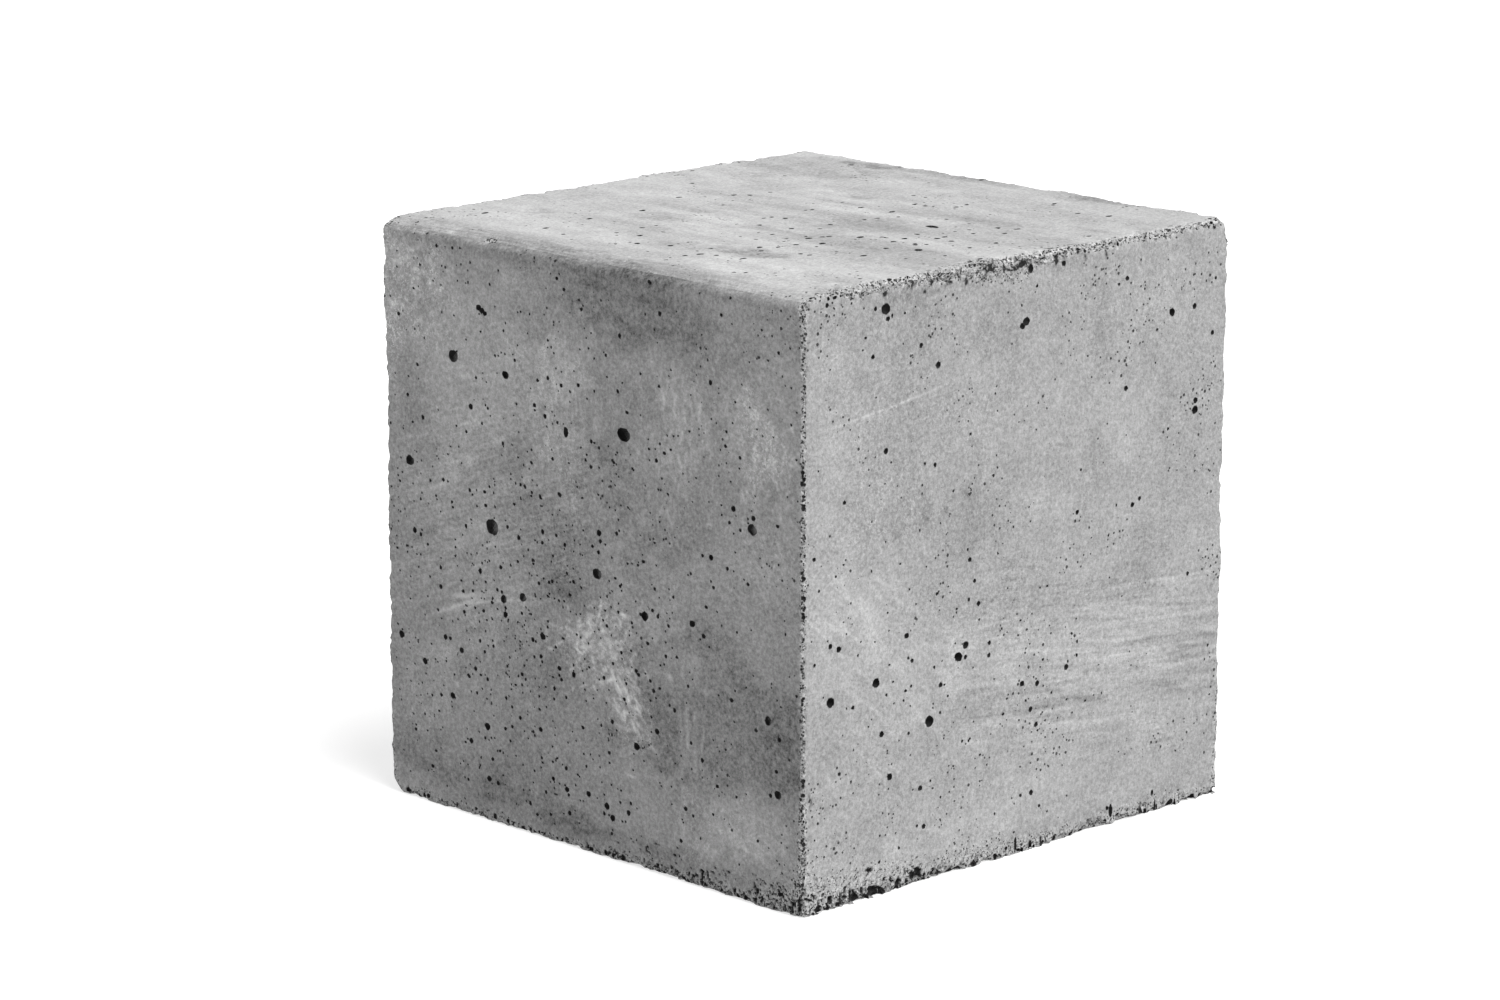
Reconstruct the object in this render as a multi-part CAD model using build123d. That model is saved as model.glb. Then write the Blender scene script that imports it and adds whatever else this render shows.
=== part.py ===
from build123d import *
import os
import random

import numpy as np
from scipy.spatial import Voronoi

# Cast concrete cube, standing on its moulded base, in millimetres.
#
# The cube is one casting that can't be taken apart. It holds two batched sizes of crushed stone:
#   mortar_body            sand-and-cement mortar that filled the mould, with bug holes in its sides
#   coarse_aggregate_40mm  crushed stones that stay on a 20 mm sieve, each bedded in its own pocket
#   coarse_aggregate_20mm  the smaller stones, which pass it
#
# +Z is up and the origin is the centre of the base. The base and the four sides were cast against
# the mould, and the top was finished by hand with a trowel.

# Driving dimensions
EDGE = 150.0  # nominal size of the standard cube
HALF = EDGE / 2

# Arrises, where two faces meet
MOULD_ARRIS = 0.8  # bevel left by the mould on an unworn arris
BASE_ARRIS = 1.4  # bevel round the base, where grout leaked from the mould's joint
WORN_ARRIS = 2.6  # bevel along the crumbled top arris on the +X side
TROWELLED_RADIUS = 4.0  # round left by the trowel along the top arris on the -Y side

# Crushed stone
COVER = 5.5  # least mortar between a stone and a face
STONE_COUNT = 150
LEAST_SEED_GAP = 19.0  # between the middles of two stones
SIZE_SHARES = (0.52, 0.86)  # a stone's size, as a share of the room between its neighbours
LARGE_SIZE = 18.0  # cube root of the volume from which a stone stays on the 20 mm sieve
STONE_SEED = 11

# Bug holes, where round air bubbles stood against the mould
SWELL = 1.08  # a bubble's radius over the radius of its mouth
SINK = 0.4  # depth of a bubble's middle, in radii of its mouth

# Mouths of the larger bug holes as (across, up, radius). Across is measured from the middle of the
# side towards the right, seen from outside, and up is measured from the base.
MINUS_Y_MOUTHS = [
    (-38.5, 131.2, 1.3), (-37.0, 130.2, 1.0), (-48.5, 118.0, 1.4), (-29.0, 116.0, 1.1),
    (12.6, 107.6, 1.7), (14.6, 108.0, 2.0), (-65.7, 88.5, 1.3), (-34.5, 76.5, 2.1),
    (3.8, 71.5, 1.4), (20.8, 64.0, 1.3), (58.0, 92.2, 1.3), (58.4, 94.8, 0.6),
    (63.4, 46.5, 1.0), (66.5, 29.0, 1.0), (-23.2, 60.5, 1.1), (-30.4, 58.8, 0.9),
    (-29.8, 55.0, 0.8), (-16.0, 52.2, 0.9), (17.6, 30.7, 0.95), (7.0, 13.3, 0.8),
    (9.0, 10.7, 0.8), (-37.2, 24.5, 0.85), (-70.2, 42.3, 0.85), (-61.2, 36.8, 0.8),
    (37.5, 65.3, 0.8), (-7.0, 105.0, 0.9),
]
PLUS_X_MOUTHS = [
    (-47.8, 143.4, 1.25), (0.6, 133.6, 1.15), (-0.6, 132.8, 0.9), (-30.2, 127.5, 0.75),
    (36.8, 139.5, 0.7), (54.0, 128.8, 1.0), (63.3, 102.6, 1.0), (63.5, 104.6, 0.75),
    (-40.0, 63.0, 0.75), (-63.0, 64.0, 0.75), (-19.5, 56.9, 0.85), (-22.0, 54.4, 1.3),
    (-50.4, 53.4, 1.15), (-65.8, 51.3, 1.2), (-32.0, 40.3, 1.35), (-48.4, 40.3, 0.75),
    (-45.6, 29.1, 0.85), (0.8, 43.4, 0.75), (6.3, 42.4, 0.7), (16.7, 44.5, 0.7),
    (3.8, 36.3, 0.7), (4.5, 14.8, 0.7),
]
PLUS_Y_MOUTHS = [
    (52.0, 121.0, 1.2), (20.5, 136.5, 0.9), (-11.0, 118.4, 1.6), (-41.5, 127.0, 0.8),
    (-58.2, 98.5, 1.1), (61.0, 84.0, 0.9), (6.4, 89.3, 0.8), (-27.8, 80.6, 1.3),
    (37.6, 66.2, 1.7), (-4.5, 58.8, 1.0), (-49.0, 52.4, 0.9), (57.5, 39.0, 0.8),
    (18.0, 33.5, 1.2), (-33.4, 27.2, 1.0), (41.0, 16.4, 0.9), (-12.2, 13.1, 0.8),
]
MINUS_X_MOUTHS = [
    (44.0, 132.6, 0.8), (-8.5, 125.8, 1.3), (-51.6, 134.0, 0.9), (62.4, 104.8, 1.1),
    (15.2, 99.6, 0.8), (-31.0, 92.0, 1.8), (33.8, 74.5, 1.2), (-62.0, 69.2, 0.9),
    (-9.4, 61.4, 1.0), (54.6, 48.0, 1.5), (-38.2, 41.6, 0.8), (9.6, 30.4, 1.1),
    (-57.0, 18.8, 0.9), (31.4, 14.6, 0.8),
]
SIDES = [MINUS_Y_MOUTHS, PLUS_X_MOUTHS, PLUS_Y_MOUTHS, MINUS_X_MOUTHS]  # a quarter turn apart


def section(ease_left, left_size, right_size):
    """The whole blank's upright section, with eased top corners and bevelled base corners."""
    outline = chamfer(Rectangle(EDGE, EDGE).vertices().group_by(Axis.Y)[0], BASE_ARRIS)
    outline = ease_left(outline.vertices().group_by(Axis.Y)[-1].sort_by(Axis.X)[0], left_size)
    outline = chamfer(outline.vertices().group_by(Axis.Y)[-1].sort_by(Axis.X)[-1], right_size)
    return extrude(outline, HALF, both=True)


def blank():
    """The casting's outside with its arrises, before the bug holes and the pockets."""
    plan = extrude(chamfer(Rectangle(EDGE, EDGE).vertices(), MOULD_ARRIS), HALF, both=True)
    across_x = Plane.XZ * section(chamfer, MOULD_ARRIS, WORN_ARRIS)
    across_y = Plane.YZ * section(fillet, TROWELLED_RADIUS, MOULD_ARRIS)
    return Pos(0, 0, HALF) * (plan & across_x & across_y)


def bubbles():
    """Every bug hole's bubble, with its poles in line with the side's normal."""
    minus_y = Plane(origin=(0, -HALF, 0), x_dir=(1, 0, 0), z_dir=(0, -1, 0)).location
    found = []
    for quarter, mouths in enumerate(SIDES):
        side = Rotation(0, 0, 90 * quarter) * minus_y
        for across, up, radius in mouths:
            found.append(side * Pos(across, up, -SINK * radius) * Sphere(radius * SWELL))
    return found


def stone_middles():
    """Seeds for the stones, spread at random through the casting but not too close together."""
    draw = random.Random(STONE_SEED)
    reach = HALF - COVER
    found = []
    while len(found) < STONE_COUNT:
        seed = np.array([draw.uniform(-reach, reach) for _ in range(3)])
        if all(np.linalg.norm(seed - other) >= LEAST_SEED_GAP for other in found):
            found.append(seed)
    return np.array(found)


def with_mirror_images(seeds):
    """The seeds and their images in six planes, which keep every stone's room inside the cover."""
    images = [seeds]
    for axis in range(3):
        for wall in (COVER - HALF, HALF - COVER):
            image = seeds.copy()
            image[:, axis] = 2 * wall - image[:, axis]
            images.append(image)
    return np.concatenate(images)


def crushed_stones():
    """Angular stones, each of them the room round its seed, shrunk by a share of its own."""
    seeds = stone_middles()
    rooms = Voronoi(with_mirror_images(seeds))
    room_sides = [[] for _ in seeds]
    for pair, corners in zip(rooms.ridge_points, rooms.ridge_vertices):
        for owner in pair:
            if owner < len(seeds):
                room_sides[owner].append(rooms.vertices[corners])
    draw = random.Random(STONE_SEED)
    stones = []
    for seed, sides in zip(seeds, room_sides):
        share = draw.uniform(*SIZE_SHARES)
        faces = []
        for corners in sides:
            outline = [Vector(*point) for point in seed + share * (corners - seed)]
            faces.append(Face(Wire.make_polygon(outline, close=True)))
        stones.append(Pos(0, 0, HALF) * Solid(Shell(faces)))
    return stones


def is_large(stone):
    """Whether a stone stays on the sieve that parts the two sizes."""
    return stone.volume ** (1 / 3) >= LARGE_SIZE


stones = crushed_stones()
nodes = {
    "mortar_body": blank() - bubbles() - stones,
    "coarse_aggregate_40mm": Compound(children=[stone for stone in stones if is_large(stone)]),
    "coarse_aggregate_20mm": Compound(children=[stone for stone in stones if not is_large(stone)]),
}

os.makedirs("parts", exist_ok=True)
for name, shape in nodes.items():
    export_step(shape, f"parts/{name}.step")
    print(name, len(shape.solids()), "solids", round(shape.volume), "mm3", shape.bounding_box().size)
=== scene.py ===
import math

import bmesh
import bpy
import numpy as np
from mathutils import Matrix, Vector


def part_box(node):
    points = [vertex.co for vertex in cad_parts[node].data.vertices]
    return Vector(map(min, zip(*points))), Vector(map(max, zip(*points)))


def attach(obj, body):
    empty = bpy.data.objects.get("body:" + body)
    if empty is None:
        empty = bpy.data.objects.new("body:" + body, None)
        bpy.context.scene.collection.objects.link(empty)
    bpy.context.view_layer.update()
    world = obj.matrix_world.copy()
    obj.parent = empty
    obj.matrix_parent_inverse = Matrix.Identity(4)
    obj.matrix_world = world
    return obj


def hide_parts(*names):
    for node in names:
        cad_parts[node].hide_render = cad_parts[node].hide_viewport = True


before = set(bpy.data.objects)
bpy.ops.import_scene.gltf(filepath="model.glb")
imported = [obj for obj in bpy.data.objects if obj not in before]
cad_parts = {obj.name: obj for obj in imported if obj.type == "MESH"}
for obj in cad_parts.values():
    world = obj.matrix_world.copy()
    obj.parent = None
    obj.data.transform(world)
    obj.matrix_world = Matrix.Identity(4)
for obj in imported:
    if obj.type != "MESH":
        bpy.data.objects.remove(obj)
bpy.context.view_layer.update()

# A cast concrete cube. One piece, concrete_cube, stands for the CAD's mortar body. It is a fine
# mesh of the cube's skin that is worn, chipped and pitted in code, with the bug holes cut out of it.
# Everything is worked out in millimetres from the cube's centre and scaled to metres at the end.

MM = 0.001
LOW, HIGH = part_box("mortar_body")
MIDDLE = (LOW + HIGH) / 2
HALF = (HIGH.x - LOW.x) / 2 / MM  # half the cube's edge
EDGE = 2 * HALF

CELLS = 440  # of the skin's grid, along an edge
RAY_REACH = 6  # how far in from an arris the skin's points start to move at a slant
SHARP_ANGLE = math.radians(38)

# The sides by name: the axis that each faces along, and its sign.
SIDES = {"-X": (0, -1), "+X": (0, 1), "-Y": (1, -1), "+Y": (1, 1), "-Z": (2, -1), "+Z": (2, 1)}

# Where the skin is cut back along a slanting plane. A cut gives its reach in from each side that it
# takes, how far it wanders, how deep its sand grains stand, and how softly it meets the faces.
CUTS = [
    ({"+X": 0.9, "-Y": 0.9}, 0.7, 0.4, 0.02),  # upright arrises
    ({"+X": 0.8, "+Y": 0.8}, 0.5, 0.3, 0.05),
    ({"-X": 1, "-Y": 1}, 0.9, 0.35, 0.1),
    ({"-X": 0.7, "+Y": 0.7}, 0.6, 0.35, 0.02),
    ({"+X": 2.8, "+Z": 1.5}, 1.8, 0.5, 0.02),  # top arrises
    ({"+Y": 1.3, "+Z": 1.1}, 0.9, 0.35, 0.02),
    ({"-X": 1.3, "+Z": 1.1}, 0.9, 0.35, 0.02),
    ({"+X": 0.9, "-Z": 1.2}, 1.2, 0.5, 0.02),  # arrises of the base
    ({"-Y": 0.9, "-Z": 1.2}, 1.1, 0.45, 0.02),
    ({"-X": 0.9, "-Z": 1.2}, 1.1, 0.45, 0.02),
    ({"+Y": 0.9, "-Z": 1.2}, 1.1, 0.45, 0.02),
    ({"-X": 4, "-Y": 4, "-Z": 4.5}, 0.4, 0.2, 0.6),  # corners
    ({"-X": 2, "-Y": 2, "-Z": 10}, 0.4, 0.2, 0.4),
    ({"+X": 1.6, "-Y": 1.6, "-Z": 2.2}, 0.9, 0.45, 0.02),
    ({"+X": 2.5, "+Y": 4, "+Z": 12}, 1, 0.4, 0.1),
    ({"+X": 5, "+Y": 6, "+Z": 3}, 0.8, 0.4, 0.05),
    ({"+X": 1.4, "-Y": 1.4, "+Z": 5}, 0.6, 0.45, 0.02),
]
CRUMBLED = ("+X", "+Z")  # the arris that is worn most
SAND_GRAIN = 1.05  # size of the grains in the bare sand
# The trowel rounded one top arris: how far the round reaches in from the -Y side and from the top.
TROWELLED = {"-Y": 8, "+Z": 4.2}

# Spalls and pits: the middle of the ball that bit the skin away, from the cube's low corner, and
# its radius.
BITES = [
    # Top arris over the +X side
    ((151.6, 71, 151.8), 5.6), ((151.2, 81, 151.4), 4.6), ((151.6, 101, 151.2), 4.4),
    ((151.4, 47, 151.6), 4), ((151.6, 60, 151.2), 3.4), ((151.3, 92, 151.5), 3.6),
    ((151.2, 118, 151.2), 3), ((151.2, 24, 151.2), 2.6), ((151.1, 134, 151.2), 2.8),
    # Front arris
    ((150.8, -0.8, 133), 2.3), ((150.7, -0.7, 117.5), 2.1), ((150.7, -0.7, 42.7), 2.1),
    ((150.8, -0.8, 147.5), 2.8), ((150.8, -0.8, 22), 2.3), ((151, -1, 13), 2.7),
    ((150.5, -0.5, 88), 1.5), ((150.5, -0.5, 66), 1.5), ((150.5, -0.5, 31), 1.6),
    # Bottom front tip
    ((152, -2, -1.2), 4.2), ((151.2, -1.2, 6), 3),
    # Under the +X side
    ((151, 20, -0.6), 2.6), ((151.2, 34, -0.8), 2.4), ((151, 64, -0.8), 2.8),
    ((150.8, 103, -0.6), 2.5), ((150.8, 138, -0.6), 2.4),
    # Other arrises
    ((39, 0.8, 150.8), 2.8), ((-0.8, -0.3, 150.6), 2.8), ((-1.2, 52, 151), 3.6),
    ((-1.1, 120, 151.2), 3), ((64, 151.2, 151), 3.4), ((118, 151.1, 151.2), 2.8),
    ((-0.8, 150.8, 96), 2.3), ((-1, 151, 31), 2.8), ((-1.4, 151.4, -0.8), 4.6),
    ((-0.8, -0.8, 104), 2), ((-0.7, -0.7, 60), 1.8),
]
# Sand shows in strips along the arrises: half a strip's width, and how much that wanders.
SANDY_ARRISES = [
    (("+X", "-Y"), 0.75, 0.4), (("+X", "+Y"), 0.4, 0.3), (("-X", "-Y"), 0.4, 0.3),
    (("-X", "+Y"), 0.5, 0.3), (("+X", "+Z"), 2.2, 1.2), (("+Y", "+Z"), 0.8, 0.5),
    (("-X", "+Z"), 1, 0.6),
]
# Open pits between the grains of an arris: how many, the reach in from each of the two sides, and
# the least and greatest radius.
ARRIS_PITS = [
    (("+X", "-Y"), 150, (0.6, 0.6), (0.2, 0.55)), (("+X", "+Y"), 26, (0.5, 0.5), (0.2, 0.5)),
    (("-X", "-Y"), 20, (0.5, 0.5), (0.2, 0.5)), (("-X", "+Y"), 40, (0.5, 0.5), (0.2, 0.5)),
    (("+X", "+Z"), 150, (3.6, 1.9), (0.2, 0.55)), (("+Y", "+Z"), 60, (1.2, 1.1), (0.2, 0.5)),
    (("-X", "+Z"), 60, (1.2, 1.1), (0.2, 0.5)), (("+X", "-Z"), 120, (1.2, 1.4), (0.3, 0.9)),
    (("-Y", "-Z"), 130, (1.2, 1.6), (0.25, 0.65)), (("-X", "-Z"), 110, (1.2, 1.4), (0.3, 0.8)),
    (("+Y", "-Z"), 110, (1.2, 1.4), (0.3, 0.8)),
]
# Soft hollows in the trowelled top: along X, along Y, reach and depth.
HOLLOWS = [
    (48, 50, 6, 0.3), (100, 32, 6, 0.45), (62, 108, 6, 0.4), (21, 35, 4, 0.4), (88, 82, 14, 0.4),
    (120, 118, 16, 0.3), (30, 120, 18, 0.3), (135, 40, 9, 0.3),
]
# Depths of the cast faces' waves and of the top's trowel marks, as strength, size and seed of their
# noises. A size in three is along X, Y and Z.
FACE_WAVES = [(0.07, 38, 51), (0.04, 12, 52), (0.02, 2.4, 53), (0.016, 0.9, 54)]
TROWEL_MARKS = [(0.2, 17, 55), (0.1, (9, 5, 6), 58), (0.09, (24, 2.8, 50), 56), (0.05, 2, 57)]
LONG = 400  # size of a noise along an axis in which it shouldn't change
SLOT_DEPTH = 1.4  # of the slots and dots along the base
SLOT_SHADE = 2.2  # how much they darken the skin's tone
# Broad clouds in a side's tone, as strength, size and seed of their noises.
SIDE_CLOUDS = [(0.07, 26, 74), (0.05, 8, 75)]
# On the top these clouds are partly its own tone and partly painted light and shade of its trowelled
# waves.
TOP_CLOUDS_AND_WAVE_SHADE = [(0.19, (46, 11, 50), 77), (0.15, (17, 5, 50), 78)]
PAINTED_SIDE_LIGHT = {"-Y": 0.9, "+Z": 1.38}  # painted light and shade: the top is painted lighter and the -Y side darker, for how light falls on them; how light a side is on average, where it isn't 1
# Small ragged bites at random along a line or over a face: how many, the line's middle, how far they
# spread from it along X, Y and Z, and the least and greatest radius.
CHIPS = [
    (60, (115, 65, 150.2), (45, 45, 0.15), (0.45, 1.1)),  # in the top
    (46, (150.9, 66, 150.8), (0.5, 34, 0.6), (0.9, 2.3)),  # along the top arris of the +X side
    (26, (150.7, 75, 150.6), (0.4, 90, 0.4), (0.6, 1.4)),
    (46, (150.5, -0.5, 75), (0.4, 0.4, 90), (0.5, 1.3)),  # along the front arris
    (70, (150.5, 40, -0.4), (0.4, 60, 0.5), (0.6, 1.6)),  # along the base
    (60, (95, -0.5, -0.4), (60, 0.4, 0.5), (0.6, 1.6)),
    (30, (-0.5, 75, -0.4), (0.4, 90, 0.5), (0.6, 1.5)),
    (30, (75, 150.5, -0.4), (90, 0.4, 0.5), (0.6, 1.5)),
]

# Light and dark clouds on a side, some of them painted shade: across, up, half width, half height, turn
# in degrees and tone.
PATCHES = {
    "-Y": [
        (30, 122, 34, 26, 0, 0.13), (8, 137, 10, 12, 0, 0.1), (67, 110, 11, 24, 4, 0.04),
        (108, 113, 9, 19, -4, 0.04), (136, 112, 12, 16, 0, 0.1), (98, 139, 38, 11, -4, -0.13),
        (84, 96, 9, 22, 8, -0.1), (118, 42, 30, 24, 10, -0.2), (72, 82, 24, 12, 12, -0.07),
        (78, 53, 13, 12, 25, 0.03), (90, 41, 8, 11, 30, 0.03), (127, 17, 21, 11, 4, 0.2),
        (56, 43, 15, 9, 10, -0.12), (25, 62, 24, 20, 10, 0.05), (66, 64, 9, 4, 14, -0.16),
        (24, 12, 30, 7, 0, -0.1), (66, 8, 52, 3.2, -2, -0.15), (100, 4, 60, 5, 0, -0.08),
        (60, 147.5, 90, 3.5, 0, -0.14), (145, 60, 7, 30, 0, -0.07), (104, 86, 18, 8, 25, -0.08),
        (12, 100, 14, 9, 10, -0.06), (126, 83, 14, 6, 20, 0.06), (54, 20, 20, 10, 0, -0.05),
        (14, 35, 12, 10, 0, 0.06),
    ],
    "+X": [
        (28, 120, 32, 32, 0, -0.07), (58, 88, 16, 12, -10, -0.08), (117, 68, 12, 10, 0, -0.09),
        (112, 106, 14, 10, 0, 0.08), (88, 88, 12, 8, 0, 0.06), (92, 50, 60, 7, -5, 0.1),
        (96, 36, 50, 4, -6, -0.05), (110, 29, 50, 5, -6, 0.06), (14, 76, 16, 5, -38, 0.09),
        (30, 50, 26, 9, -30, 0.05), (133, 139, 18, 10, 0, 0.05), (75, 128, 16, 12, 0, -0.04),
        (48, 10, 40, 7, 8, 0.05), (75, 2, 80, 5, 0, -0.08), (104, 120, 4, 34, 2, -0.05),
        (10, 116, 9, 24, 0, 0.06), (60, 147, 50, 2.5, 0, -0.1), (70, 76, 10, 16, 0, -0.05),
    ],
    "+Y": [
        (40, 110, 30, 24, 10, 0.12), (112, 40, 28, 22, 0, -0.14), (90, 96, 12, 26, 6, 0.12),
        (30, 40, 18, 24, 0, -0.08), (128, 120, 16, 12, 0, 0.14), (75, 4, 80, 5, 0, -0.14),
        (66, 62, 30, 10, 14, 0.08), (18, 140, 20, 8, 0, -0.12),
    ],
    "-X": [
        (112, 112, 26, 22, 0, 0.1), (40, 34, 30, 18, -8, -0.12), (62, 104, 14, 22, 0, -0.1),
        (96, 50, 36, 6, -6, 0.12), (22, 84, 12, 20, 0, 0.1), (75, 4, 80, 5, 0, -0.12),
        (128, 26, 18, 14, 0, 0.08), (80, 142, 40, 5, 0, -0.08),
    ],
    # On the top, the dark spots over the trowelled hollows and the dark band along the round of the -Y
    # arris are painted shade; the others are partly its own clouds and partly painted light and shade
    # of its waves.
    "+Z": [
        (48, 50, 9, 6, 30, -0.15), (48, 50, 4, 3, 30, -0.1), (100, 32, 8, 6, 20, -0.3),
        (86, 27, 16, 6, 20, -0.2), (62, 108, 8, 6, 0, -0.26), (90, 80, 20, 14, 0, -0.12),
        (50, 146, 28, 5, 0, -0.22), (112, 147, 12, 4, 0, -0.26), (22, 128, 18, 14, 20, -0.16),
        (21, 35, 4, 4, 0, -0.28), (122, 14, 36, 9, -8, 0.2), (30, 20, 34, 10, 0, 0.08),
        (20, 80, 14, 20, 0, 0.08), (60, 134, 34, 8, -20, -0.12), (60, 3, 80, 6, -1, -0.2),
        (78, 1, 90, 3, 0, -0.1), (106, 105, 12, 8, 0, -0.12), (135, 88, 14, 12, 0, -0.12),
        (130, 120, 20, 10, 0, 0.08), (12, 62, 8, 12, 0, -0.12), (70, 60, 40, 6, 14, 0.08),
    ],
    "-Z": [(60, 70, 40, 34, 20, 0.1), (112, 112, 26, 20, 0, -0.1), (110, 30, 20, 16, 0, 0.08)],
}

# Where pale lime has dried in crisp flecks, and where the mould or a brush left fine streaks.
FLECKED = {
    "-Y": [
        (8, 134, 14, 18, 0, 1.1), (30, 118, 34, 26, 0, 0.4), (67, 110, 9, 20, 4, 0.35),
        (108, 112, 9, 18, -4, 0.35), (136, 112, 10, 14, 0, 1), (78, 54, 13, 11, 20, 0.75),
        (92, 38, 8, 9, 30, 0.7), (126, 16, 20, 10, 4, 0.5), (140, 86, 9, 10, 0, 0.5),
        (36, 48, 14, 6, 20, 0.4), (12, 30, 12, 12, 0, 0.4), (60, 78, 40, 18, 16, 0.25),
    ],
    "+X": [
        (30, 118, 34, 32, 0, 0.35), (124, 134, 22, 12, 0, 0.35), (60, 90, 40, 30, 0, 0.2),
        (100, 60, 50, 34, 0, 0.15),
    ],
    "+Y": [(40, 110, 30, 24, 10, 0.7), (90, 96, 12, 26, 6, 0.8), (128, 120, 16, 12, 0, 0.8)],
    "-X": [(112, 112, 26, 22, 0, 0.7), (22, 84, 12, 20, 0, 0.8), (70, 40, 50, 20, 0, 0.4)],
    "+Z": [(75, 75, 80, 80, 0, 0.15), (120, 12, 34, 8, -8, 0.3)],
    "-Z": [(60, 70, 40, 34, 20, 0.8)],
}
BRUSHED = {
    "-Y": [(40, 80, 46, 34, 18, 1), (110, 70, 36, 30, 18, 0.6)],
    "+X": [(100, 46, 60, 26, 0, 1), (90, 90, 50, 20, 0, 0.4)],
    "+Y": [(90, 60, 60, 40, 0, 1)],
    "-X": [(60, 60, 60, 50, 0, 0.8)],
    "+Z": [(75, 75, 90, 90, 0, 0.5)],
    "-Z": [(75, 75, 60, 60, 0, 0.5)],
}

# Families of strokes left by the brush, the mould's grain and handling, and some painted light and
# shade: how many, the middle of their region, its half sizes, their direction in degrees and its
# spread, length, width, tone.
STROKES = {
    "-Y": [
        (190, (34, 80), (36, 30), 20, 7, 15, 0.38, 0.13),
        (70, (30, 62), (32, 20), 18, 9, 12, 0.8, -0.08),
        (150, (78, 54), (14, 11), 15, 45, 3.4, 0.4, 0.5),
        (60, (90, 41), (7, 10), -40, 25, 5, 0.4, 0.44), (10, (92, 38), (6, 7), -45, 20, 7, 0.45, 0.36),
        (10, (34, 56), (16, 3), 20, 5, 22, 0.5, 0.26),
        (190, (67, 108), (17, 30), 97, 14, 4.5, 0.36, 0.2),
        (150, (108, 111), (15, 24), 90, 13, 4.5, 0.36, 0.2),
        (190, (136, 112), (14, 17), 60, 50, 2.4, 0.38, 0.3),
        (90, (138, 86), (12, 12), -50, 25, 4, 0.35, 0.16),
        (160, (30, 118), (32, 24), 12, 30, 3.5, 0.35, 0.12),
        (160, (90, 60), (50, 50), 20, 50, 5, 0.35, -0.08),
        (60, (110, 60), (36, 40), 40, 60, 9, 0.5, 0.08),
        (40, (100, 138), (34, 8), -6, 12, 12, 0.8, -0.1),
        (110, (9, 136), (15, 18), 30, 35, 2.8, 0.6, 0.3), (30, (112, 36), (8, 18), 88, 8, 9, 0.5, 0.14),
        (40, (125, 17), (18, 9), 0, 40, 3, 0.6, 0.16),
        (300, (75, 112), (76, 36), 20, 25, 6, 0.36, 0.14),
        (120, (24, 30), (26, 24), 80, 50, 2.6, 0.5, 0.15),
        (60, (110, 20), (40, 20), 40, 60, 2.6, 0.5, 0.12),
    ],
    "+X": [
        (110, (24, 54), (26, 34), -38, 7, 22, 0.42, 0.1),
        (26, (12, 74), (14, 8), -38, 4, 16, 0.4, 0.13),
        (170, (112, 46), (62, 20), -5, 4, 32, 0.45, 0.1),
        (150, (116, 44), (60, 24), -6, 5, 30, 0.45, -0.09),
        (30, (70, 70), (40, 12), -8, 8, 16, 0.7, -0.06),
        (70, (40, 118), (40, 28), 30, 70, 6, 0.6, 0.06),
        (60, (100, 116), (44, 30), 20, 70, 6, 0.6, 0.05),
        (24, (102, 100), (4, 40), 92, 5, 12, 0.8, -0.07),
        (40, (60, 14), (60, 10), 4, 14, 10, 0.7, 0.06),
        # Painted shade: dark dashes for the shade in the gaps of the crumbled top arris.
        (80, (70, 148.2), (40, 1.8), 30, 60, 2.4, 0.36, -1),
        (80, (70, 148.4), (50, 1.6), 0, 90, 0.9, 0.4, 0.5),
    ],
    "+Y": [
        (90, (50, 90), (46, 40), 24, 10, 16, 0.6, 0.11),
        (60, (100, 50), (44, 36), -12, 12, 18, 0.8, -0.08),
        (50, (112, 104), (16, 26), 90, 18, 6, 0.7, 0.14), (50, (40, 36), (20, 16), 40, 60, 4, 0.5, 0.2),
    ],
    "-X": [
        (80, (96, 52), (48, 26), -7, 6, 22, 0.8, 0.09), (60, (46, 96), (40, 36), 36, 12, 16, 0.6, 0.09),
        (50, (60, 30), (50, 20), -4, 8, 18, 0.8, -0.08),
        (40, (118, 112), (18, 20), 80, 40, 4, 0.5, 0.16),
    ],
    # The top's long strokes are partly brush marks and partly painted light and shade of its waves.
    "+Z": [
        (160, (75, 75), (72, 70), 4, 12, 18, 1.2, -0.1),
        (140, (75, 75), (72, 70), -2, 14, 20, 1.2, 0.09),
        (170, (75, 4), (80, 5), 0, 3, 14, 0.35, -0.09), (150, (75, 4), (80, 5), 0, 3, 14, 0.3, 0.09),
        # Painted shade: dark dashes for the shade in the gaps of the crumbled +X arris.
        (50, (148.8, 70), (1.4, 40), 90, 60, 2.2, 0.36, -0.9),
        (60, (148.6, 70), (1.6, 50), 0, 90, 0.9, 0.4, 0.4),
    ],
    "-Z": [(80, (75, 75), (70, 70), 12, 20, 18, 0.8, 0.07)],
}
# Single lines: the side, the middle, the turn, half the length, the width and the tone.
LINES = [
    ("+X", (28, 119.5), 7, 22, 0.32, 0.55), ("+X", (1.7, 31), 118, 5, 0.3, -0.8),
    ("+X", (2.4, 27), 70, 3, 0.3, -0.6), ("-Y", (94, 36), -38, 7, 0.55, 0.35),
    ("-Y", (112, 40), 90, 12, 0.35, 0.14), ("-Y", (52, 58), 20, 16, 0.5, 0.18),
]


def smoothstep(low, high, values):
    """0 below low, 1 above high, and an even S between them. low may be the larger."""
    share = np.clip((values - low) / (high - low), 0, 1)
    return share * share * (3 - 2 * share)


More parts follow.
